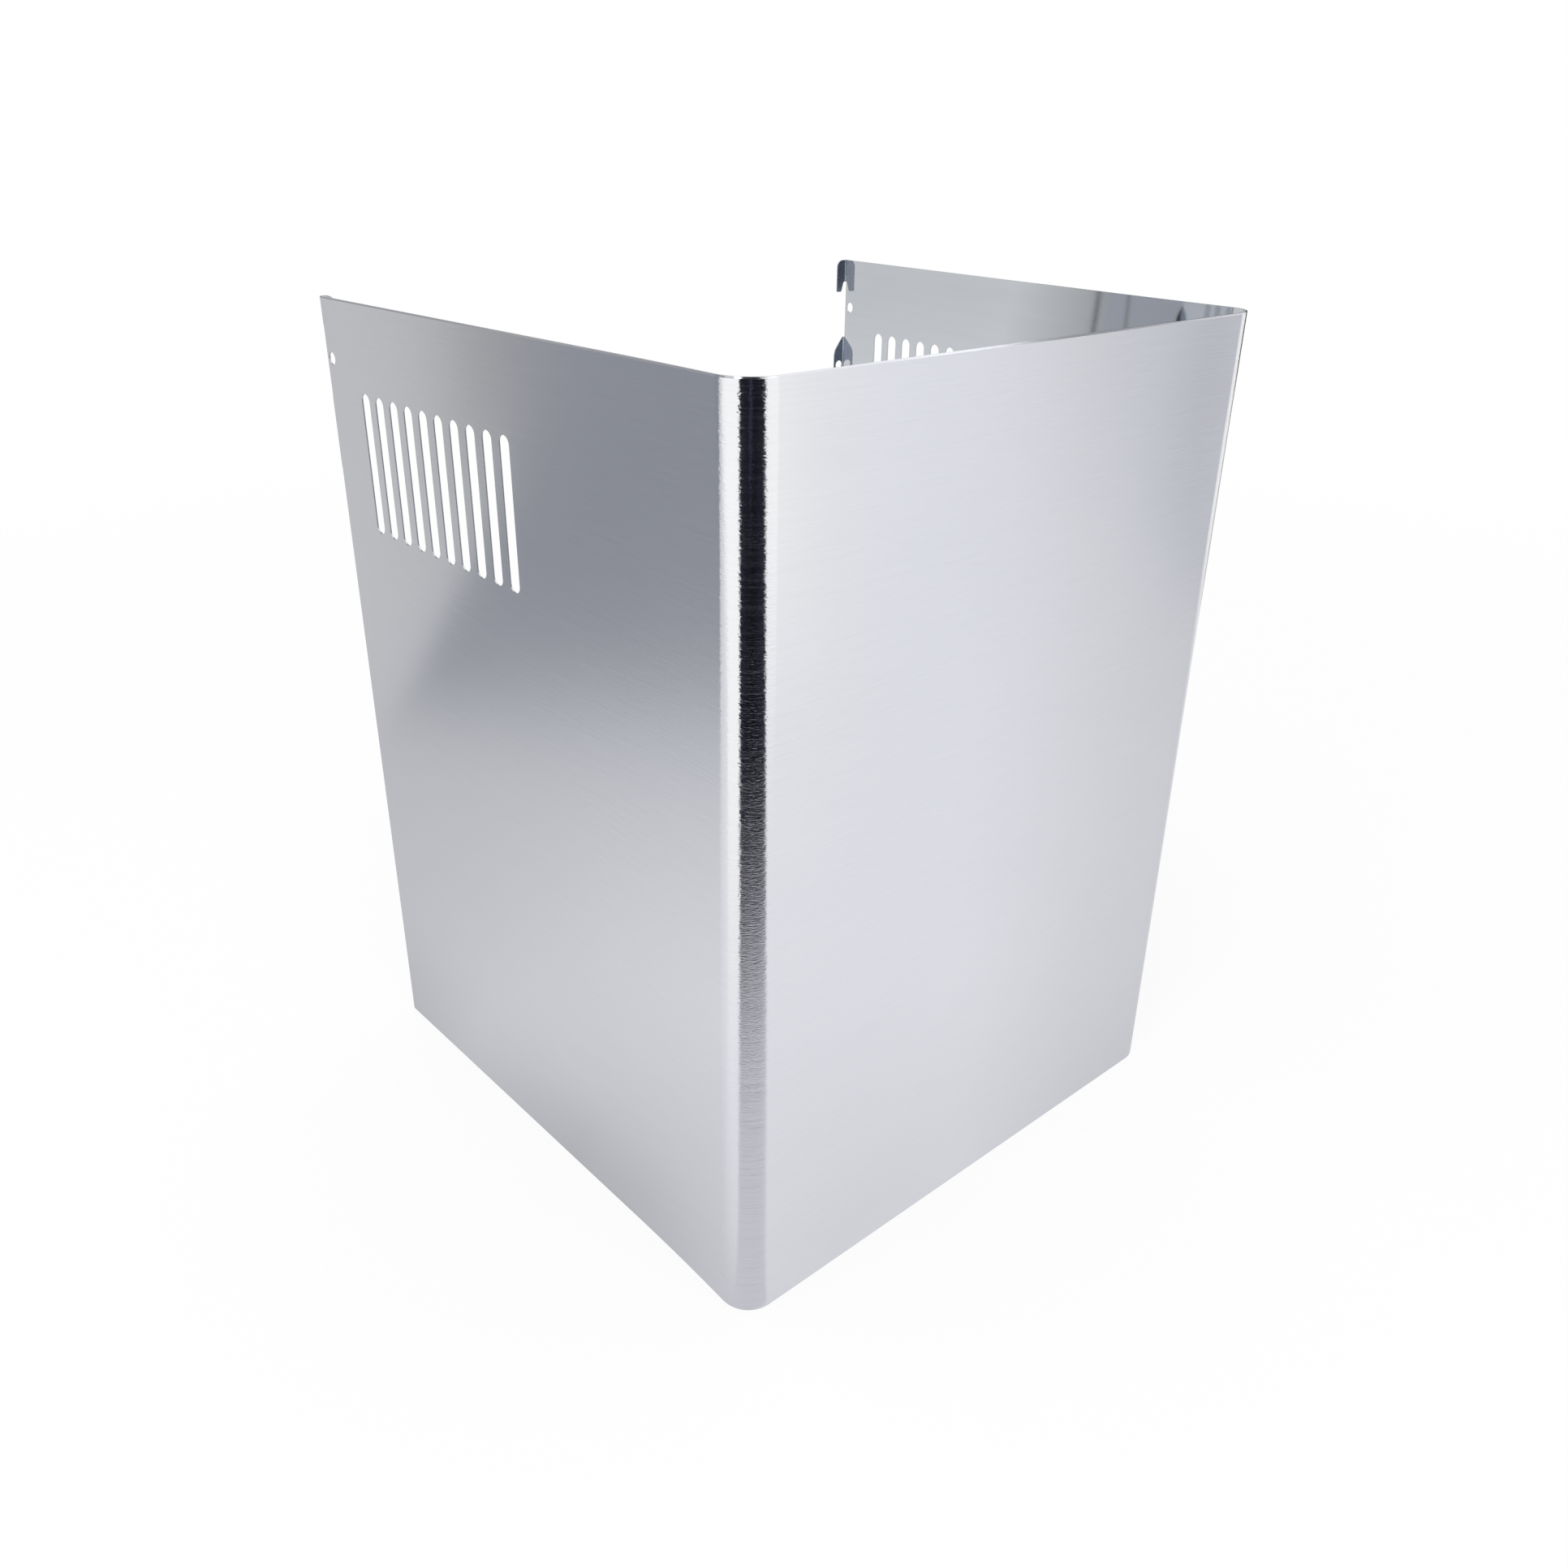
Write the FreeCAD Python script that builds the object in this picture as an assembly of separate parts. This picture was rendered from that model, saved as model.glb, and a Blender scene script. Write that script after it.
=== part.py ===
import FreeCAD, Part
import math
import os

# Chimney section of a cooker hood: one stainless sheet folded to a U, open at the back.
# The front faces -Y, the wall is the plane of the tabs at the back, and Z runs up from the lower edge.
# The origin is in the middle of the floor that the section covers.

# The folded sheet, in millimetres and degrees
height = 380.0
front_width = 269.6  # between the sharp corners of the outer faces
depth = 273.5  # from the outer face of the front to the wall
sheet = 0.6  # thickness
fold_radius = 14.0  # outer radius of the two front folds
splay = 4.5  # the straight part of each side springs open by this much until it is screwed on
flare_angle = 2.4  # the share of the splay that comes from a gentle outward curve behind the fold
flare_radius = 1400.0  # outer radius of that curve
tab_bend = 0.6  # inner radius where a tab turns in from the rear edge

# The vent slots of each side, in a row from the rear edge
slot_count = 10
slot_width = 6.8
slot_length = 62.0
slot_pitch = 12.0
first_slot = 31.2  # from the rear edge to the middle of the first slot
slots_below_top = 37.7

# The screw hole through each side
side_hole = 5.5
side_hole_rim = 1.4  # metal left between the hole and the rear edge
side_hole_below_top = 26.0

# The hook tab at the top of each rear edge
hook_fold = 12.0  # height of its bend
hook_finger = 5.4  # how far the finger hangs below the bend
hook_relief = 0.8  # flat left between the bend and the throat
hook_slant = 1.6  # how much the throat widens towards the tip
hook_tip = 3.3  # width of the finger at its tip
hook_shoulder_radius = 4.0
hook_corner_radius = 0.4

# The screw lug below the hook
lug_hole = 5.0
lug_hole_gap = 0.1  # between the bend and the hole
lug_rim = 1.25  # metal left between the hole and the free edge
lug_land = 16.0  # height of the free edge between the two sloping shoulders
lug_shoulder = 8.0  # height of each shoulder
lug_corner_radius = 8.0
lug_hole_below_top = 59.0

# Worked out from the sizes above
tab_radius = tab_bend + sheet
hook_throat = tab_radius + hook_relief
hook_reach = hook_throat + hook_slant + hook_tip
lug_hole_inset = tab_radius + lug_hole_gap + lug_hole / 2
lug_reach = lug_hole_inset + lug_hole / 2 + lug_rim
side_angle = 90 - splay
fold_angle = side_angle + flare_angle
tab_angle = 90 + splay
cutter_depth = 10 * tab_radius


def heading(angle):
    """Unit vector in plan, turned from +X by an angle."""
    return FreeCAD.Vector(math.cos(math.radians(angle)), math.sin(math.radians(angle)), 0)


def setback(radius, angle):
    """Length from a bend's sharp corner to the line where the bend starts."""
    return radius * math.tan(math.radians(angle) / 2)


# The outer face of the right side in plan: the end of its fold, the end of its flare,
# the sharp corner where it meets the wall, and its rear edge
fold_setback = setback(fold_radius, fold_angle)
fold_end = FreeCAD.Vector(front_width / 2, -depth / 2, 0) + heading(fold_angle) * fold_setback
flare_chord = 2 * flare_radius * math.sin(math.radians(flare_angle) / 2)
flare_end = fold_end + heading(side_angle + flare_angle / 2) * flare_chord
straight = (depth / 2 - flare_end.y) / math.cos(math.radians(splay))
rear_corner = flare_end + heading(side_angle) * straight
rear_edge = rear_corner - heading(side_angle) * setback(tab_radius, tab_angle)


def run(length):
    return {"length": length}


def bend(radius, angle):
    return {"radius": radius, "angle": angle}


def strip_plan(start, angle, steps):
    """Plan of bent sheet: walks along its outer face, with the sheet on the left.

    A bend turns left, or right where its radius and angle are negative.
    """
    outer, inner = [], []
    point = start
    inner_point = start + heading(angle + 90) * sheet
    first_end = Part.LineSegment(point, inner_point).toShape()
    for step in steps:
        if "length" in step:
            ahead = heading(angle) * step["length"]
            outer.append(Part.LineSegment(point, point + ahead).toShape())
            inner.append(Part.LineSegment(inner_point, inner_point + ahead).toShape())
            point = point + ahead
            inner_point = inner_point + ahead
        else:
            radius = step["radius"]
            inner_radius = radius - sheet
            centre = point + heading(angle + 90) * radius
            halfway = heading(angle + step["angle"] / 2 - 90)
            angle = angle + step["angle"]
            end = centre + heading(angle - 90) * radius
            inner_end = centre + heading(angle - 90) * inner_radius
            outer.append(Part.Arc(point, centre + halfway * radius, end).toShape())
            inner.append(Part.Arc(inner_point, centre + halfway * inner_radius, inner_end).toShape())
            point, inner_point = end, inner_end
    last_end = Part.LineSegment(point, inner_point).toShape()
    return Part.Face(Part.Wire(outer + [last_end] + inner[::-1] + [first_end]))


def upright(edges):
    """Solid of an outline in the XZ plane, reaching to both sides of it along Y."""
    solid = Part.Face(Part.Wire(edges)).extrude(FreeCAD.Vector(0, cutter_depth, 0))
    solid.translate(FreeCAD.Vector(0, -cutter_depth / 2, 0))
    return solid


def rounded_corner(before, corner, after, radius):
    """Where an arc in a corner starts, its middle, and where it ends."""
    back = (before - corner).normalize()
    ahead = (after - corner).normalize()
    half_angle = back.getAngle(ahead) / 2
    cut = radius / math.tan(half_angle)
    middle = corner + (back + ahead).normalize() * (radius / math.sin(half_angle) - radius)
    return corner + back * cut, middle, corner + ahead * cut


def rounded_cutter(corners):
    """Solid of an outline whose corners are given as (x, z, radius)."""
    points = [FreeCAD.Vector(x, 0, z) for x, z, _ in corners]
    count = len(points)
    arcs = []
    for i in range(count):
        arcs.append(rounded_corner(points[i - 1], points[i], points[(i + 1) % count], corners[i][2]))
    edges = []
    for i in range(count):
        start, middle, end = arcs[i]
        if corners[i][2] > 0:
            edges.append(Part.Arc(start, middle, end).toShape())
        edges.append(Part.LineSegment(end, arcs[(i + 1) % count][0]).toShape())
    return upright(edges)


def slot_cutter(x, top):
    """Upright slot with round ends."""
    radius = slot_width / 2
    bottom = top - slot_length
    lower_left = FreeCAD.Vector(x - radius, 0, bottom + radius)
    upper_left = FreeCAD.Vector(x - radius, 0, top - radius)
    upper_right = FreeCAD.Vector(x + radius, 0, top - radius)
    lower_right = FreeCAD.Vector(x + radius, 0, bottom + radius)
    return upright([
        Part.LineSegment(lower_left, upper_left).toShape(),
        Part.Arc(upper_left, FreeCAD.Vector(x, 0, top), upper_right).toShape(),
        Part.LineSegment(upper_right, lower_right).toShape(),
        Part.Arc(lower_right, FreeCAD.Vector(x, 0, bottom), lower_left).toShape(),
    ])


def hole_cutter(x, z, diameter):
    start = FreeCAD.Vector(x, -cutter_depth / 2, z)
    return Part.makeCylinder(diameter / 2, cutter_depth, start, FreeCAD.Vector(0, 1, 0))


def folded_sheet():
    """The bare U, from the rear edge of the left side round the front to that of the right side."""
    side = run((rear_edge - flare_end).Length)
    flare = bend(-flare_radius, -flare_angle)
    fold = bend(fold_radius, fold_angle)
    front = run(front_width - 2 * fold_setback)
    left_edge = FreeCAD.Vector(-rear_edge.x, rear_edge.y, 0)
    plan = strip_plan(left_edge, 180 + tab_angle, [side, flare, fold, front, fold, flare, side])
    return plan.extrude(FreeCAD.Vector(0, 0, height))


def hook_outline():
    """Hook with a round shoulder and a finger that hangs behind a bracket's ear; x runs outwards."""
    throat = height - hook_fold
    tip = throat - hook_finger
    return [
        (tab_radius, throat, 0),
        (-hook_throat, throat, hook_corner_radius),
        (hook_tip - hook_reach, tip, hook_corner_radius),
        (-hook_reach, tip, hook_corner_radius),
        (-hook_reach, height, hook_shoulder_radius),
        (tab_radius, height, 0),
    ]


def lug_outline():
    """Lug with sloping shoulders above and below its screw hole; x runs outwards."""
    middle = height - lug_hole_below_top
    edge_end = lug_land / 2
    bend_end = edge_end + lug_shoulder
    return [
        (tab_radius, middle - bend_end, 0),
        (-tab_radius, middle - bend_end, 0),
        (-lug_reach, middle - edge_end, lug_corner_radius),
        (-lug_reach, middle + edge_end, lug_corner_radius),
        (-tab_radius, middle + bend_end, 0),
        (tab_radius, middle + bend_end, 0),
    ]


def right_tabs():
    """Hook and lug of the right side, bent inwards to lie along the wall."""
    widest = max(hook_reach, lug_reach)
    plan = strip_plan(rear_edge, side_angle, [bend(tab_radius, tab_angle), run(widest)])
    blank = plan.extrude(FreeCAD.Vector(0, 0, height))
    tabs = []
    for outline in (hook_outline(), lug_outline()):
        trim = rounded_cutter(outline)
        trim.translate(rear_corner)
        tabs.append(blank.common(trim))
    return tabs


def right_cutters():
    """Slots and side hole, measured forwards from the rear edge, and the hole of the lug."""
    slots_top = height - slots_below_top
    cutters = [slot_cutter(first_slot + i * slot_pitch, slots_top) for i in range(slot_count)]
    cutters.append(hole_cutter(side_hole_rim + side_hole / 2, height - side_hole_below_top, side_hole))
    forwards = FreeCAD.Rotation(FreeCAD.Vector(0, 0, 1), 180 + side_angle)
    for cutter in cutters:
        cutter.Placement = FreeCAD.Placement(rear_edge, forwards).multiply(cutter.Placement)
    lug_cutter = hole_cutter(-lug_hole_inset, height - lug_hole_below_top, lug_hole)
    lug_cutter.translate(rear_corner)
    return cutters + [lug_cutter]


def both_sides(shapes):
    """The shapes of the right side and their mirror images on the left."""
    middle, across = FreeCAD.Vector(0, 0, 0), FreeCAD.Vector(1, 0, 0)
    return shapes + [shape.mirror(middle, across) for shape in shapes]


def chimney_cover():
    cover = folded_sheet().fuse(both_sides(right_tabs()))
    cover = cover.cut(both_sides(right_cutters()))
    return cover.removeSplitter().Solids[0]


os.makedirs("parts", exist_ok=True)
chimney_cover().exportStep("parts/chimney_cover.step")
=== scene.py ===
import math

import bmesh
import bpy
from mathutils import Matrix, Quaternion, Vector


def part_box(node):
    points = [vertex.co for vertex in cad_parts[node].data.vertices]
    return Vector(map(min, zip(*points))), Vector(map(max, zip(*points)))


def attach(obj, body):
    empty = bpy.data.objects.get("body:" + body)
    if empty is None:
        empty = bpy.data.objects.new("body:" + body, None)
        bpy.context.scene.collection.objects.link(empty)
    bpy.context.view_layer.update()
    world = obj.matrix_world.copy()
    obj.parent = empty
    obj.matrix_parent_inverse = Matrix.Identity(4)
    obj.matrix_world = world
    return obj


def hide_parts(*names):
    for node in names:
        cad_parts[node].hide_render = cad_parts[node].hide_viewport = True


# The chimney section of a cooker hood: one stainless sheet folded to a U, brushed outside, bright inside.
# Lengths are in metres and angles in radians; the front faces -Y, and the tabs lie along the wall at +Y.
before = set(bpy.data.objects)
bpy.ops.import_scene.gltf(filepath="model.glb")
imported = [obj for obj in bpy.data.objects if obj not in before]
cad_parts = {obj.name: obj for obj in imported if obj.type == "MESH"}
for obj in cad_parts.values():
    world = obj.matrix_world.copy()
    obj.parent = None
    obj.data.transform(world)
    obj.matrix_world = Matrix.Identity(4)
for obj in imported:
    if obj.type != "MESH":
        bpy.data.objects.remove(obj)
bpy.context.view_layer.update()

mm = 0.001
degree = math.pi / 180
touch = 0.01 * mm  # places nearer than this count as one
weld = 0.001 * mm  # corners nearer than this are merged
rightwards, leftwards, rearwards, upwards = (1, 0, 0), (-1, 0, 0), (0, 1, 0), (0, 0, 1)
node_low, node_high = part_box("chimney_cover")
height = node_high.z
front = node_low.y  # outer face of the front panel
wall = node_high.y  # the plane of the tabs

# The folded sheet
sheet = 0.6 * mm
front_width = 269.6 * mm  # between the sharp corners of the outer faces
fold_radius = 14 * mm
splay = 4.5 * degree  # the straight part of each side springs open by this much
flare_turn = 2.4 * degree  # the share of the splay from a gentle outward curve behind the fold
flare_radius = 1400 * mm
tab_radius = 1.2 * mm
fold_facets = 56
flare_facets = 16
tab_facets = 10
edge_rounding = 0.24 * mm  # the soft edge that shearing leaves
edge_facets = 3
edge_turn = 50 * degree  # edges that turn by more than this are softened
smooth_turn = 35 * degree  # faces that meet at less than this are shaded as one

# The vent slots and the screw hole of each side
slot_count = 10
slot_width = 6.8 * mm
slot_length = 62 * mm
slot_pitch = 12 * mm
first_slot = 31.2 * mm  # from the rear edge to the middle of the first slot
slots_top = height - 37.7 * mm
side_hole = 5.5 * mm
side_hole_inset = 4.15 * mm
side_hole_height = height - 26 * mm
round_facets = 48
punch_depth = 8 * sheet

# The hook at the top of each rear edge; reaches are measured from the corner at the wall
hook_throat_height = height - 12 * mm
hook_tip_height = hook_throat_height - 5.4 * mm
hook_throat = 2.0 * mm
hook_tip_start = 3.6 * mm
hook_reach = 6.9 * mm
hook_shoulder = 4.0 * mm
hook_corner = 0.35 * mm

# The screw lug below the hook
lug_height = height - 59 * mm
lug_root = 32 * mm
lug_land = 16 * mm
lug_reach = 7.55 * mm
lug_corner = 2.8 * mm
lug_hole = 5 * mm
lug_hole_inset = 3.8 * mm
corner_facets = 8  # of a rounded corner of a hook or lug

# The finish of the outside
brushed_roughness = 0.169
grain_depth = 0.035 * mm  # of the brushing
opened_depth = 0.11 * mm  # of the coarser scratches that bending opens in the folds
fold_blend = 2 * mm  # over which the finish of a fold starts and ends
burnish_start = 0.16  # the height above which a fold grows smoother
burnish_end = 0.27
roll_width = 0.7 * mm  # the band below the upper edge that the shears have rolled over
roll_depth = 0.37 * mm

# The right side in plan, worked out from the sizes above
side_way = Vector((math.sin(splay), math.cos(splay), 0))  # from the front fold to the rear edge
side_inward = Vector((-math.cos(splay), math.sin(splay), 0))
lean = splay - flare_turn  # of the side where it leaves the fold
fold_outward = Vector((math.cos(lean), -math.sin(lean), 0))
fold_turn = math.pi / 2 - lean
tab_turn = math.pi / 2 + splay
fold_start = front_width / 2 - fold_radius * math.tan(fold_turn / 2)
fold_centre = Vector((fold_start, front + fold_radius, 0))
fold_end = fold_centre + fold_outward * fold_radius
flare_centre = fold_end + fold_outward * flare_radius
flare_end = flare_centre + side_inward * flare_radius
rear_corner = flare_end + side_way * ((wall - flare_end.y) / side_way.y)
tab_setback = tab_radius * math.tan(tab_turn / 2)
rear_edge = rear_corner - side_way * tab_setback
tab_centre = rear_edge + side_inward * tab_radius
tab_start = rear_corner.x - tab_setback  # where the bend of a tab ends and its flat begins

# The faces of the sheet, by the slot of their material
OUTSIDE, INSIDE, CUT = range(3)


def pick(piece, kind, test):
    """Selects the vertices, edges or faces of a piece whose every corner passes a test."""
    bpy.ops.mesh.select_mode(type=kind)
    bpy.ops.mesh.select_all(action="DESELECT")
    mesh = bmesh.from_edit_mesh(piece.data)
    if kind == "VERT":
        for vertex in mesh.verts:
            vertex.select_set(test(vertex.co))
    else:
        for part in mesh.edges if kind == "EDGE" else mesh.faces:
            part.select_set(all(test(vertex.co) for vertex in part.verts))
    bmesh.update_edit_mesh(piece.data)


def near(a, b):
    return abs(a - b) < touch


def near_point(place, x, z):
    return near(place.x, x) and near(place.y, wall) and near(place.z, z)


def bend_on(angle, centre, facets):
    """Bends the sheet on from the picked edge, to the left seen from above; spin counts clockwise."""
    bpy.ops.mesh.spin(steps=facets, angle=-angle, center=centre, axis=upwards)


def run_on(way):
    """Runs the sheet straight on from the picked edge."""
    bpy.ops.mesh.extrude_region_move(TRANSFORM_OT_translate={"value": way})


def upright_plane():
    """The right half of the front panel's outer face."""
    bpy.ops.object.select_all(action="DESELECT")
    bpy.ops.mesh.primitive_plane_add(
        size=1, location=(fold_start / 2, front, height / 2), rotation=(math.pi / 2, 0, 0)
    )
    skin = bpy.context.object
    skin.name = "chimney_cover_sheet"
    skin.scale = (fold_start, height, 1)
    bpy.ops.object.transform_apply(location=True, rotation=True, scale=True)
    return skin


def cut_across(piece, levels):
    """Parts the flat of the side at the heights where tabs begin and end."""
    for level in levels:
        pick(piece, "FACE", lambda place: place.y > flare_end.y - touch)
        bpy.ops.mesh.bisect(plane_co=(0, 0, level), plane_no=upwards)


def pick_rear_edge(piece, low, high):
    def on_edge(place):
        at_rear = (place - rear_edge).xy.length < touch
        return at_rear and low - touch < place.z < high + touch

    pick(piece, "EDGE", on_edge)


def round_corner(piece, reach, z, length):
    """Rounds one corner of a tab, back to a length along both of its edges."""
    pick(piece, "VERT", lambda place: near_point(place, rear_corner.x - reach, z))
    bpy.ops.mesh.bevel(offset=length, offset_type="OFFSET", segments=corner_facets, affect="VERTICES")


def move_corner(piece, x, z, new_reach, new_z):
    pick(piece, "VERT", lambda place: near_point(place, x, z))
    bpy.ops.transform.translate(value=(rear_corner.x - new_reach - x, 0, new_z - z))


def add_lip(piece, low, high, reach):
    """Bends a stretch of the rear edge in along the wall and runs it on to its free edge."""
    pick_rear_edge(piece, low, high)
    bend_on(tab_turn, tab_centre, tab_facets)
    run_on((rear_corner.x - reach - tab_start, 0, 0))


def add_lug(piece):
    """The lug: a lip whose free edge is shorter than its bend, with rounded corners."""
    add_lip(piece, lug_height - lug_root / 2, lug_height + lug_root / 2, lug_reach)
    bpy.ops.transform.resize(
        value=(1, 1, lug_land / lug_root), center_override=(0, 0, lug_height)
    )
    for side in (-1, 1):
        round_corner(piece, lug_reach, lug_height + side * lug_land / 2, lug_corner)


def add_hook(piece):
    """The hook: a lip with a finger that hangs behind a bracket's ear."""
    add_lip(piece, hook_throat_height, height, hook_reach)
    free_edge = rear_corner.x - hook_reach

    def on_lower_edge(place):
        in_flat = free_edge - touch < place.x < tab_start + touch
        return in_flat and near(place.y, wall) and near(place.z, hook_throat_height)

    pick(piece, "EDGE", on_lower_edge)
    bpy.ops.mesh.subdivide(number_cuts=2)
    third = (tab_start - free_edge) / 3
    move_corner(piece, tab_start - third, hook_throat_height, hook_throat, hook_throat_height)
    move_corner(piece, tab_start - 2 * third, hook_throat_height, hook_tip_start, hook_tip_height)
    move_corner(piece, free_edge, hook_throat_height, hook_reach, hook_tip_height)
    round_corner(piece, hook_reach, height, hook_shoulder)
    round_corner(piece, hook_reach, hook_tip_height, hook_corner)
    round_corner(piece, hook_tip_start, hook_tip_height, hook_corner)
    round_corner(piece, hook_throat, hook_throat_height, hook_corner)


def apply_modifier(piece, kind, **settings):
    modifier = piece.modifiers.new(kind.lower(), kind)
    for name, value in settings.items():
        setattr(modifier, name, value)
    bpy.ops.object.select_all(action="DESELECT")
    piece.select_set(True)
    bpy.context.view_layer.objects.active = piece
    bpy.ops.object.modifier_apply(modifier=modifier.name)


def outer_skin():
    """The outer face of the whole folded sheet, with no thickness yet."""
    skin = upright_plane()
    bpy.ops.object.mode_set(mode="EDIT")
    pick(skin, "EDGE", lambda place: near(place.x, fold_start))
    bend_on(fold_turn, fold_centre, fold_facets)
    bend_on(-flare_turn, flare_centre, flare_facets)
    run_on(rear_edge - flare_end)
    lug_levels = [lug_height - lug_root / 2, lug_height + lug_root / 2]
    cut_across(skin, lug_levels + [hook_throat_height])
    add_lug(skin)
    add_hook(skin)
    bpy.ops.object.mode_set(mode="OBJECT")
    apply_modifier(skin, "MIRROR", use_axis=(True, False, False), merge_threshold=weld)
    bpy.ops.object.mode_set(mode="EDIT")
    bpy.ops.mesh.select_all(action="SELECT")
    bpy.ops.mesh.remove_doubles(threshold=weld)
    bpy.ops.mesh.normals_make_consistent(inside=False)
    bpy.ops.object.mode_set(mode="OBJECT")
    return skin


def punch(width, length, top):
    """A punch along Y with round ends, for a slot or, where the length is the width, a hole."""
    bpy.ops.object.select_all(action="DESELECT")
    bpy.ops.mesh.primitive_cylinder_add(
        vertices=round_facets,
        radius=width / 2,
        depth=punch_depth,
        location=(0, 0, top - width / 2),
        rotation=(math.pi / 2, 0, 0),
    )
    tool = bpy.context.object
    bpy.ops.object.transform_apply(location=True, rotation=True, scale=True)
    bpy.ops.object.mode_set(mode="EDIT")
    pick(tool, "VERT", lambda place: place.z < top - width / 2 - touch)
    bpy.ops.transform.translate(value=(0, 0, width - length))
    bpy.ops.object.mode_set(mode="OBJECT")
    return tool


def copy_of(tool):
    copied = tool.copy()
    copied.data = tool.data.copy()
    bpy.context.scene.collection.objects.link(copied)
    return copied


def place_on_side(tool, inset, hand):
    """Turns a punch square to one side, at a distance forwards from its rear edge."""
    place = rear_edge - side_way * inset
    tool.location = (hand * place.x, place.y, 0)
    tool.rotation_euler.z = hand * (math.pi / 2 - splay)


def join(tools):
    """Makes one object of several."""
    bpy.ops.object.select_all(action="DESELECT")
    for tool in tools:
        tool.select_set(True)
    bpy.context.view_layer.objects.active = tools[0]
    bpy.ops.object.join()
    return bpy.context.object


def punches():
    """All the punches of both sides, as one object."""
    slot = punch(slot_width, slot_length, slots_top)
    hole = punch(side_hole, side_hole, side_hole_height + side_hole / 2)
    lug = punch(lug_hole, lug_hole, lug_height + lug_hole / 2)
    tools = []
    for hand in (-1, 1):
        for i in range(slot_count):
            tools.append(copy_of(slot))
            place_on_side(tools[-1], first_slot + i * slot_pitch, hand)
        tools.append(copy_of(hole))
        place_on_side(tools[-1], side_hole_inset, hand)
        tools.append(copy_of(lug))
        tools[-1].location = (hand * (rear_corner.x - lug_hole_inset), wall, 0)
    for pattern in (slot, hole, lug):
        bpy.data.objects.remove(pattern)
    joined = join(tools)
    for polygon in joined.data.polygons:
        polygon.material_index = CUT
    return joined


def chimney_cover_sheet(materials):
    """The whole piece: the folded skin given its thickness, punched, with softened edges."""
    cover = outer_skin()
    for material in materials:
        cover.data.materials.append(material)
    apply_modifier(
        cover, "SOLIDIFY", thickness=sheet, offset=-1, use_even_offset=True,
        material_offset=INSIDE, material_offset_rim=CUT,
    )
    tools = punches()
    for material in materials:
        tools.data.materials.append(material)
    apply_modifier(cover, "BOOLEAN", operation="DIFFERENCE", solver="EXACT", object=tools)
    bpy.data.objects.remove(tools)
    apply_modifier(
        cover, "BEVEL", width=edge_rounding, segments=edge_facets, limit_method="ANGLE",
        angle_limit=edge_turn, material=CUT,
    )
    bpy.ops.object.shade_smooth_by_angle(angle=smooth_turn)
    apply_modifier(cover, "WEIGHTED_NORMAL", keep_sharp=True)
    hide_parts("chimney_cover")
    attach(cover, "root")


class Socket:
    """An output of a node; sums and products of it add Math nodes to its tree."""

    def __init__(self, finish, output):
        self.finish = finish
        self.output = output

    def maths(self, operation, first, second):
        return self.finish.node("ShaderNodeMath", {"operation": operation}, {0: first, 1: second})

    def __add__(self, other):
        return self.maths("ADD", self, other)

    def __radd__(self, other):
        return self.maths("ADD", other, self)

    def __sub__(self, other):
        return self.maths("SUBTRACT", self, other)

    def __rsub__(self, other):
        return self.maths("SUBTRACT", other, self)

    def __mul__(self, other):
        return self.maths("MULTIPLY", self, other)

    def __rmul__(self, other):
        return self.maths("MULTIPLY", other, self)


class Finish:
    """A node tree under construction, of a material or of the world."""

    def __init__(self, owner):
        owner.use_nodes = True
        self.owner = owner
        self.tree = owner.node_tree
        self.tree.nodes.clear()

    def node(self, kind, settings=None, sockets=None, output=0):
        """Adds a node, sets it up, fills its sockets with values or links, and gives one output."""
        made = self.tree.nodes.new(kind)
        for name, value in (settings or {}).items():
            setattr(made, name, value)
        for name, value in (sockets or {}).items():
            if isinstance(value, Socket):
                self.tree.links.new(value.output, made.inputs[name])
            else:
                made.inputs[name].default_value = value
        return Socket(self, made.outputs[output]) if len(made.outputs) else None

    def place(self):
        """Where a point lies on the piece, in metres."""
        return self.node("ShaderNodeTexCoord", output="Object")

    def vector(self, operation, sockets, output=0):
        """Vector maths; a length or a product of two vectors is output 1."""
        return self.node("ShaderNodeVectorMath", {"operation": operation}, sockets, output)

    def along(self, place, axis):
        """How far a place lies along an axis."""
        return self.vector("DOT_PRODUCT", {0: place, 1: axis}, output=1)

    def noise(self, place, length, rise, detail):
        """Noise from 0 to 1 whose grains have about the given length on the level and the given height."""
        cells = self.vector("MULTIPLY", {0: place, 1: (1 / length, 1 / length, 1 / rise)})
        return self.node("ShaderNodeTexNoise", None, {"Vector": cells, "Scale": 1.0, "Detail": detail})

    def mix(self, share, first, second):
        """A colour between two others."""
        settings = {"data_type": "RGBA"}
        return self.node("ShaderNodeMix", settings, {0: share, 6: first, 7: second}, output=2)

    def ranged(self, value, low, high):
        """0 below one value, 1 above another, and in proportion between them."""
        sockets = {"Value": value, "From Min": low, "From Max": high}
        return self.node("ShaderNodeMapRange", {"clamp": True}, sockets)

    def bump(self, relief, depth=1.0):
        """A normal that follows a relief in metres, or in shares of a depth."""
        return self.node("ShaderNodeBump", None, {"Height": relief, "Distance": depth})

    def rays(self, kind):
        """1 for one kind of ray and 0 for all others."""
        return self.node("ShaderNodeLightPath", output=kind)

    def glow(self, colour):
        return self.node("ShaderNodeEmission", None, {"Color": colour})

    def surface(self, shader, kind="ShaderNodeOutputMaterial"):
        self.node(kind, None, {"Surface": shader})
        return self.owner

    def steel(self, sockets):
        """The finished material of a bare metal face."""
        return self.surface(self.node("ShaderNodeBsdfPrincipled", None, {"Metallic": 1.0, **sockets}))


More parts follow.
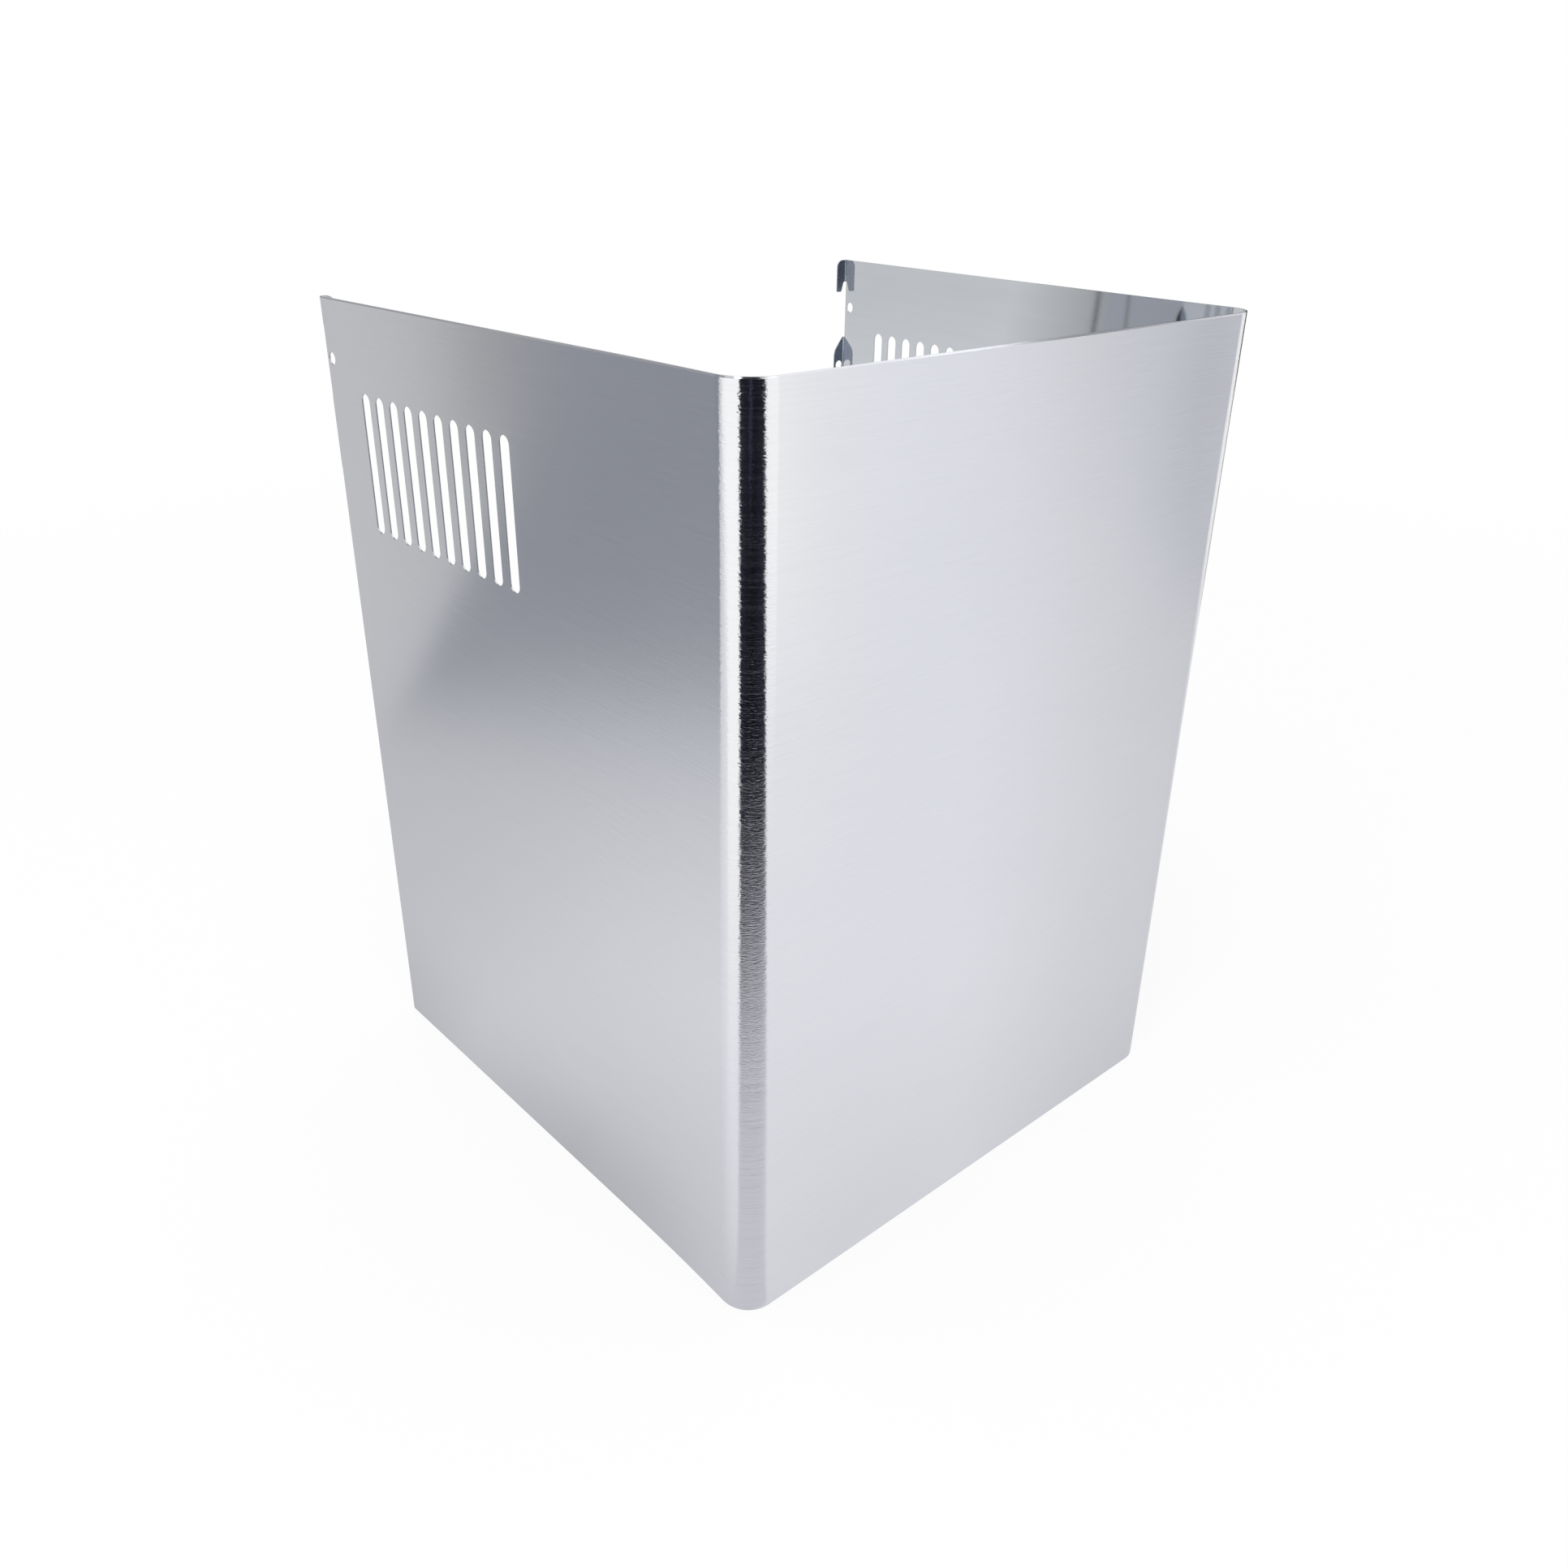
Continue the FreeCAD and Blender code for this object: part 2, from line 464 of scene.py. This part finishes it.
def in_fold(finish, place):
    """1 on the two front folds and 0 elsewhere."""
    across = finish.along(place, rightwards)
    aside = finish.node("ShaderNodeMath", {"operation": "ABSOLUTE"}, {0: across})
    past_front = finish.ranged(aside, fold_start, fold_start + fold_blend)
    back = finish.along(place, rearwards)
    before_side = 1 - finish.ranged(back, fold_end.y - fold_blend, fold_end.y)
    return past_front * before_side


def rolled_over(finish, place):
    """How much the outside falls away along the upper edge, where the shears have rolled it over."""
    return finish.ranged(finish.along(place, upwards), height - roll_width, height)


def brushed_outside():
    """Steel brushed along the sheet: long level scratches, with highlights drawn out upright."""
    finish = Finish(bpy.data.materials.new("brushed_outside"))
    place = finish.place()
    scratches = finish.noise(place, 9 * mm, 0.3 * mm, 2.0)
    strokes = finish.noise(place, 26 * mm, 0.7 * mm, 2.0)
    rows = finish.ranged(finish.noise(place, 30 * mm, 0.45 * mm, 1.0), 0.42, 0.7)
    clouds = finish.noise(place, 90 * mm, 60 * mm, 1.0)
    opened = finish.noise(place, 2 * mm, 0.52 * mm, 2.0) - 0.5
    fold = in_fold(finish, place)
    burnished = fold * finish.ranged(finish.along(place, upwards), burnish_start, burnish_end)
    tone = scratches * 0.35 + strokes * 0.35 + clouds * 0.3
    bent = fold * (rows * 0.06 - 0.019)
    worn = brushed_roughness + strokes * 0.03 + clouds * 0.03 + rows * 0.02 + bent
    grain = scratches * 0.5 + strokes * 0.3
    marks = grain * grain_depth + fold * opened * opened_depth
    return finish.steel({
        "Base Color": finish.mix(tone, (0.60, 0.61, 0.655, 1), (0.69, 0.70, 0.74, 1)),
        "Roughness": worn * (1 - burnished * 0.22),
        "Anisotropic": 0.9,
        "Anisotropic Rotation": 0.25,
        "Normal": finish.bump(marks - rolled_over(finish, place) * roll_depth),
    })


def bright_inside():
    """The back of the sheet as the mill leaves it: smooth and bright, with faint rolling lines."""
    finish = Finish(bpy.data.materials.new("bright_inside"))
    place = finish.place()
    rolling = finish.noise(place, 60 * mm, 2.5 * mm, 2.0)
    clouds = finish.noise(place, 70 * mm, 70 * mm, 1.0)
    tone = rolling * 0.5 + clouds * 0.5
    return finish.steel({
        "Base Color": finish.mix(tone, (0.675, 0.70, 0.747, 1), (0.755, 0.78, 0.827, 1)),
        "Roughness": 0.03 + rolling * 0.02,
        "Normal": finish.bump(rolling, 0.002 * mm),
    })


def cut_edge():
    """The punched edges, dull and a little torn, and the brighter sheared one along the top."""
    finish = Finish(bpy.data.materials.new("cut_edge"))
    place = finish.place()
    tear = finish.noise(place, 0.6 * mm, 0.6 * mm, 3.0)
    punched = finish.mix(tear, (0.36, 0.37, 0.39, 1), (0.52, 0.53, 0.55, 1))
    sheared = finish.mix(tear, (0.74, 0.75, 0.77, 1), (0.84, 0.85, 0.87, 1))
    upper = finish.ranged(finish.along(place, upwards), height - 0.5 * mm, height - 0.4 * mm)
    return finish.steel({
        "Base Color": finish.mix(upper, punched, sheared),
        "Roughness": 0.14 + tear * 0.1,
        "Normal": finish.bump(tear, 0.008 * mm),
    })


chimney_cover_sheet([brushed_outside(), bright_inside(), cut_edge()])

# The stage: a white floor, a soft lamp above, and cards that only the steel sees
floor_radius = 9.0
floor_facets = 64
floor_light = 1.1  # of the floor as the steel mirrors it, where nothing shades it
floor_white = (0.92, 0.92, 0.92, 1)  # the paint itself
glow_near = 0.8  # the share of the floor's own white close to the piece, where its shadow shows
room_light = 0.85  # of the room as the steel and the floor see it; the camera sees plain white
card_lift = 1 * mm  # of a card on the floor
overhead_height = 1.4
left_outward = Vector((side_inward.x, -side_inward.y, 0))
left_face = left_outward.dot(Vector((-rear_edge.x, rear_edge.y, 0)))  # how far out the left side stands
front_eye = (-0.356, 0.146, 0)  # where the lines of sight that the front panel mirrors seem to start

# Tints of light, as shares of red, green and blue
white = (1, 1, 1)
cool = (0.95, 0.988, 1.064)
lilac = (1.0, 0.988, 1.022)
pale = (0.995, 0.998, 1.003)
plain_tint = (1.0, 1.004, 0.99)
violet = (0.985, 0.985, 1.035)
night = (0.8, 0.85, 1.5)
warm = (1.0, 0.988, 0.945)


def beside_drop(finish, place, distance, rearward):
    """The light lost at the right, as the front panel mirrors it; more is lost further off."""
    from_eye = finish.vector("SUBTRACT", {0: place, 1: front_eye})
    rightward = finish.along(finish.vector("NORMALIZE", {0: from_eye}), rightwards)
    aside = finish.ranged(rightward, 0.77, 0.87)
    before = 1 - finish.ranged(rearward, -0.3, 0.0)
    return aside * before * (0.23 + finish.ranged(distance, 0.5, 1.6) * 0.12)


def close_drop(finish, distance, rearward, leftward):
    """The light lost close to the piece, most of it at the left."""
    nearby = 1 - finish.ranged(distance, 0.16, 0.29)
    before = 1 - finish.ranged(rearward, 0.0, 0.5)
    to_left = finish.ranged(leftward, -0.4, 0.5) * 0.07
    at_left = finish.ranged(leftward, 0.6, 0.95) * 0.15
    return nearby * before * (0.08 + to_left + at_left)


def contact_drop(finish, place, distance):
    """The light lost in a narrow strip along the foot of the left side."""
    off_left = finish.along(place, left_outward) - left_face
    strip = finish.ranged(off_left, -10 * mm, -3 * mm) * (1 - finish.ranged(off_left, 0.0, 42 * mm))
    return strip * (1 - finish.ranged(distance, 0.24, 0.36)) * 0.12


def mirrored_floor(finish, place, distance):
    """The floor as the steel mirrors it: darker behind, beside, close by and far off."""
    way = finish.vector("NORMALIZE", {0: place})
    rearward = finish.along(way, rearwards)
    leftward = finish.along(way, leftwards)
    outside = finish.ranged(distance, 0.06, 0.13)
    behind = finish.ranged(rearward, 0.0, 0.8) * outside
    beside = beside_drop(finish, place, distance, rearward) * outside
    close = close_drop(finish, distance, rearward, leftward) * outside
    far = finish.ranged(distance, 2.0, 3.3) * 0.06
    contact = contact_drop(finish, place, distance)
    light = floor_light - behind * 0.35 - beside - close - contact - far
    tint = finish.mix(finish.ranged(distance, 0.5, 1.0) * behind, (*pale, 1), (*plain_tint, 1))
    return finish.vector("SCALE", {0: tint, "Scale": light})


def floor_paint():
    """White paint with the piece's shadow on it, which the camera sees close to the piece."""
    finish = Finish(bpy.data.materials.new("white_floor"))
    place = finish.place()
    distance = finish.vector("LENGTH", {0: place}, output=1)
    seen = finish.rays("Is Camera Ray") + finish.rays("Is Transmission Ray")
    glossy = finish.rays("Is Glossy Ray")
    glow = finish.glow(finish.mix(glossy, (*white, 1), mirrored_floor(finish, place, distance)))
    paint = finish.node("ShaderNodeBsdfDiffuse", None, {"Color": floor_white})
    glow_share = glow_near + finish.ranged(distance, 0.5, 1.6) * (1 - glow_near)
    sockets = {0: seen * glow_share + glossy, 1: paint, 2: glow}
    return finish.surface(finish.node("ShaderNodeMixShader", None, sockets))


def add_floor():
    bpy.ops.object.select_all(action="DESELECT")
    bpy.ops.mesh.primitive_circle_add(vertices=floor_facets, radius=floor_radius, fill_type="NGON")
    floor = bpy.context.object
    floor.name = "floor"
    floor.data.materials.append(floor_paint())


def card_paint(name, corners, levels, tint):
    """Light that changes evenly from a card's first corner to its second."""
    finish = Finish(bpy.data.materials.new(name))
    start, end = Vector(corners[0]), Vector(corners[1])
    way = (end - start) / (end - start).length_squared
    share = finish.along(finish.place(), way) - start.dot(way)
    colours = [(*(level * channel for channel in tint), 1) for level in levels]
    return finish.surface(finish.glow(finish.mix(share, *colours)))


def add_card(name, corners, level, end_level=None, tint=white):
    """A card that shows only in reflections and neither lights the floor nor shades it."""
    bpy.ops.object.select_all(action="DESELECT")
    bpy.ops.mesh.primitive_plane_add(size=1)
    card = bpy.context.object
    card.name = name
    for vertex, corner in zip(card.data.vertices, corners, strict=True):
        vertex.co = corner
    levels = (level, level if end_level is None else end_level)
    card.data.materials.append(card_paint(name, corners, levels, tint))
    card.visible_camera = False
    card.visible_diffuse = False
    card.visible_shadow = False


def leaning(foot, head, low, high):
    """The corners of a card between two places at its foot and two at its head, in a plane's order."""
    return [(*place, low) for place in foot] + [(*place, high) for place in head]


def standing(start, end, low, high):
    """The corners of an upright card between two places in plan."""
    return leaning((start, end), (start, end), low, high)


def lying(*places):
    """The corners of a card on the floor."""
    return [(*place, card_lift) for place in places]


def overhead(*places):
    """The corners of a level card above the piece."""
    return [(*place, overhead_height) for place in places]


# Places in plan before the left front fold: the dark corner that it mirrors, and the light at its left
flag_left, flag_middle, flag_right = (-0.3521, -0.2156), (-0.2635, -0.3455), (-0.067, -0.4205)
light_foot_rear, light_foot_front = (-0.325, -0.070), (-0.3163, -0.2113)


def add_fold_flags():
    """The dark corner in front of the fold, with a faint streak of light in it."""
    bend = 0.45
    top = 1.6
    bend_left, bend_right = (-0.3482, -0.2251), (-0.1478, -0.4253)
    left = leaning((flag_left, flag_middle), (bend_left, flag_middle), 0, bend)
    right = leaning((flag_middle, flag_right), (flag_middle, bend_right), 0, bend)
    add_card("flag_left", left, 0.02, 0.004, night)
    add_card("flag_right", right, 0.004, 0.025, night)
    add_card("flag_top_left", standing(bend_left, flag_middle, bend, top), 0.006, tint=night)
    add_card("flag_top_right", standing(flag_middle, bend_right, bend, top), 0.006, tint=night)
    add_card("flag_streak", standing((-0.2579, -0.2831), (-0.2370, -0.2989), 0.32, 0.5), 0.06, tint=night)


def add_fold_floor():
    """The shade of the dark corner on the floor, and the light beside it."""
    shade = 0.825
    fold_left, fold_middle, fold_right = (-0.1365, -0.127), (-0.1315, -0.1335), (-0.122, -0.138)
    add_card("shade_left", lying(fold_left, fold_middle, flag_left, flag_middle), shade, tint=lilac)
    add_card("shade_right", lying(fold_middle, fold_right, flag_middle, (-0.04, -0.41)), shade, tint=lilac)
    glow = lying(light_foot_rear, (-0.2486, -0.0944), light_foot_front, (-0.2434, -0.1790))
    add_card("low_glow", glow, 1.27, 1.12, lilac)


def add_left_lights():
    """The light at the left of the dark corner, which grows wider above its waist."""
    waist = 0.2
    top = 0.45
    rear, front_end, tip = (-0.3298, -0.0913), (-0.3156, -0.2130), (-0.2993, -0.0177)
    low = [(*light_foot_rear, 0), (*rear, waist), (*light_foot_front, 0), (*front_end, waist)]
    add_card("low_softbox", low, 1.18, 1.4, warm)
    high = leaning((rear, front_end), (tip, front_end), waist, top)
    add_card("left_softbox", high, 1.4, tint=warm)


def add_front_lights():
    """The light at the right of the dark corner, which fades towards its right end."""
    foot = 0.05
    top = 0.9
    box_end, fade_middle, fade_end = (0.285, -0.67), (0.345, -0.64), (0.52, -0.56)
    add_card("front_softbox", standing((-0.1956, -0.8128), box_end, 0.0, top), 1.36, tint=warm)
    add_card("front_fade_1", standing(box_end, fade_middle, foot, top), 1.36, 1.135, warm)
    add_card("front_fade_2", standing(fade_middle, fade_end, foot, top), 1.135, 1.06, pale)


def add_left_cards():
    """What the left side mirrors at the left rear: painted shade as a dim floor and wall, a fade into them
    from the lit floor, and two posts before them.
    """
    top = 1.2
    post_foot = 0.12
    post_top = 0.34
    wall_right, wall_left = (-0.915, 1.0), (-1.25, 0.60)
    # Painted shade: dim cards lying on the floor and standing at the left rear, with a fade from the lit
    # floor into them
    floor = lying((-0.385, 0.495), (-0.888, 1.03), (-0.615, 0.205), wall_left)
    add_card("left_rear_floor_shade", floor, 0.43, 0.35, cool)
    add_card("left_rear_wall_shade", standing(wall_right, wall_left, 0.0, top), 0.415, 0.335, cool)
    add_card("left_rear_shade_fade", standing((-0.79, 1.09), wall_right, 0.0, top), 0.72, 0.44, plain_tint)
    foot_places = ((-0.6969, 0.8122), (-0.6999, 0.8066))
    top_places = ((-0.7037, 0.8004), (-0.7067, 0.7948))
    add_card("post_1", leaning(foot_places, top_places, post_foot, post_top), 0.14)
    add_card("post_2", standing((-0.7262, 0.7635), (-0.7311, 0.7565), post_foot, post_top), 0.26)


def add_right_cards():
    """The cards at the right: a dim stretch, a light one and a dark one."""
    top = 0.8
    flag_foot = 0.22
    dim_start, dim_end, fade_end = (0.86, -0.665), (0.86, -0.605), (0.868, -0.560)
    box_start, box_end = (0.892, -0.404), (0.938, -0.115)
    flag_start, flag_end = (0.938, -0.110), (0.700, 0.440)
    add_card("right_dim", standing(dim_start, dim_end, 0.0, top), 1.0, 0.56, violet)
    add_card("right_fade_1", standing(dim_end, fade_end, 0.0, top), 0.56, 0.78, violet)
    add_card("right_fade_2", standing(fade_end, box_start, 0.0, top), 0.76, 1.35)
    add_card("right_softbox", standing(box_start, box_end, 0.0, top), 1.2, tint=warm)
    add_card("right_flag", standing(flag_start, flag_end, flag_foot, top), 0.1)
    add_card("right_flag_low", standing(flag_start, flag_end, 0.0, flag_foot), 0.6)


def add_overhead_cards():
    """What the upper edge mirrors: a light over the left half of the front, and dark over the rest."""
    left = 0.1
    right = 4.5
    border = [(2.70, -2.3), (1.51, -0.95), (1.165, 0.35)]  # where light meets dark
    strips = list(zip(border, border[1:]))
    for number, (start, end) in enumerate(strips, 1):
        light = overhead((left, start[1]), start, (left, end[1]), end)
        add_card(f"top_light_{number}", light, 1.7)
    for number, (start, end) in enumerate(strips, 1):
        flag = overhead(start, (right, start[1]), end, (right, end[1]))
        add_card(f"top_flag_{number}", flag, 0.15)
    add_card("rear_flag", overhead((-3.5, 0.4), (2.6, 0.4), (-3.5, 6.0), (2.6, 6.0)), 0.45)


def add_world():
    world = bpy.data.worlds.new("white_room")
    bpy.context.scene.world = world
    finish = Finish(world)
    seen = finish.rays("Is Camera Ray") + finish.rays("Is Transmission Ray")
    strength = room_light + seen * (1 - room_light)
    light = finish.node("ShaderNodeBackground", None, {"Color": (*white, 1), "Strength": strength})
    finish.surface(light, "ShaderNodeOutputWorld")


def add_lamp():
    data = bpy.data.lights.new("soft_lamp", "AREA")
    data.shape = "RECTANGLE"
    data.size = 1.6
    data.size_y = 1.2
    data.energy = 14
    lamp = bpy.data.objects.new("soft_lamp", data)
    lamp.location = (-0.7, -0.6, 1.9)
    lamp.rotation_euler = (-lamp.location).to_track_quat("-Z", "Y").to_euler()
    bpy.context.scene.collection.objects.link(lamp)


def add_camera():
    """The photograph's own view, with its framing kept by the shift."""
    place = Vector((-0.3563, -0.4195, 0.4426))
    way = Vector((0.57555, 0.71037, -0.40511))
    roll = 0.372 * degree
    data = bpy.data.cameras.new("camera")
    data.sensor_width = 36.0
    data.lens = 28.44
    data.shift_x = 0.0138
    data.shift_y = -0.0604
    data.clip_start = 0.01
    camera = bpy.data.objects.new("camera", data)
    camera.location = place
    turn = way.to_track_quat("-Z", "Y") @ Quaternion(upwards, roll)
    camera.rotation_euler = turn.to_euler()
    bpy.context.scene.collection.objects.link(camera)
    bpy.context.scene.camera = camera


add_floor()
add_fold_flags()
add_fold_floor()
add_left_lights()
add_front_lights()
add_left_cards()
add_right_cards()
add_overhead_cards()
add_world()
add_lamp()
add_camera()
bpy.context.scene.view_settings.view_transform = "Standard"
